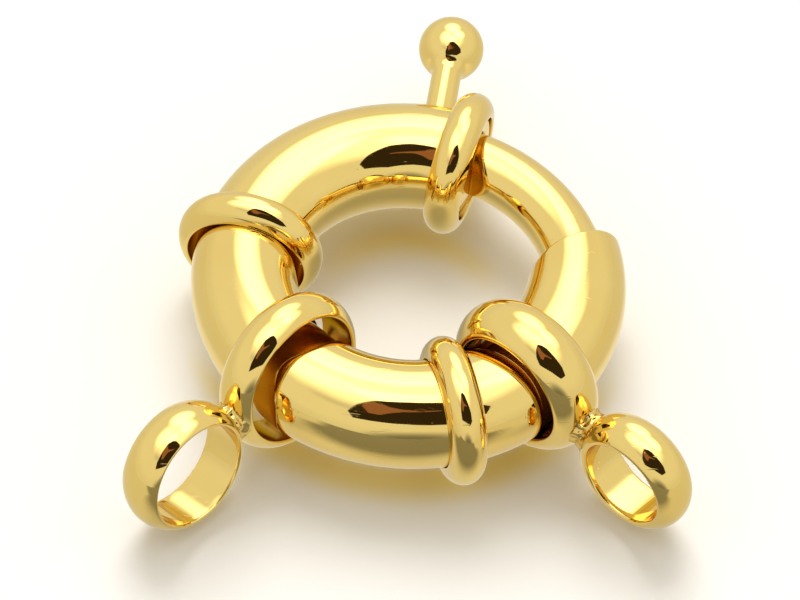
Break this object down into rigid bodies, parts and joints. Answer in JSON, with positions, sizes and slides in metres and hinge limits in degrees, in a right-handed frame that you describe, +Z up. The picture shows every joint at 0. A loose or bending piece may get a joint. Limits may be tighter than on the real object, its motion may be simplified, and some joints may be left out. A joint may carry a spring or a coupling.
{
  "type": "spring ring clasp",
  "caption": "Round tube ring clasp with a sprung bolt, ball trigger, half-round collars and figure-eight connectors on its grooves.",
  "frame": {"origin": "centre of the ring, half way up its tube", "axes": "+Z up, square to the ring, with the clasp lying on its side on a table at z = -3.75 mm; +Y from the centre towards the trigger's side; +X to the right, through the mouth's side"},
  "size_m": [0.0278, 0.0324, 0.0083],
  "materials": {
    "gold_plate": "polished gold plating over brass",
    "spring_steel": "drawn spring wire"
  },
  "bodies": {
    "ring": {"ring_tube": "gold_plate", "spring": "spring_steel", "collar_left": "gold_plate", "collar_front": "gold_plate", "collar_back": "gold_plate"},
    "bolt": {"bolt": "gold_plate", "trigger": "gold_plate"},
    "connector_left": {"connector_left": "gold_plate"},
    "connector_right": {"connector_right": "gold_plate"}
  },
  "joints": [
    {"name": "bolt_slide", "type": "hinge", "parent": "ring", "child": "bolt", "pos_m": [0, 0, 0], "axis": [0, 0, 1], "range_deg": [0, 65.8], "stiffness_Nm_per_rad": 0.0138, "springref_deg": -28.65, "deforming": ["spring"]},
    {"name": "left_connector_swing", "type": "hinge", "parent": "ring", "child": "connector_left", "pos_m": [-0.00568, -0.00639, 0.0004], "axis": [0.7432, -0.6461, 0.1736], "range_deg": [-110, 110]},
    {"name": "right_connector_swing", "type": "hinge", "parent": "ring", "child": "connector_right", "pos_m": [0.00617, -0.00563, 0.00045], "axis": [0.6414, 0.7672, 0], "range_deg": [-110, 110]}
  ]
}
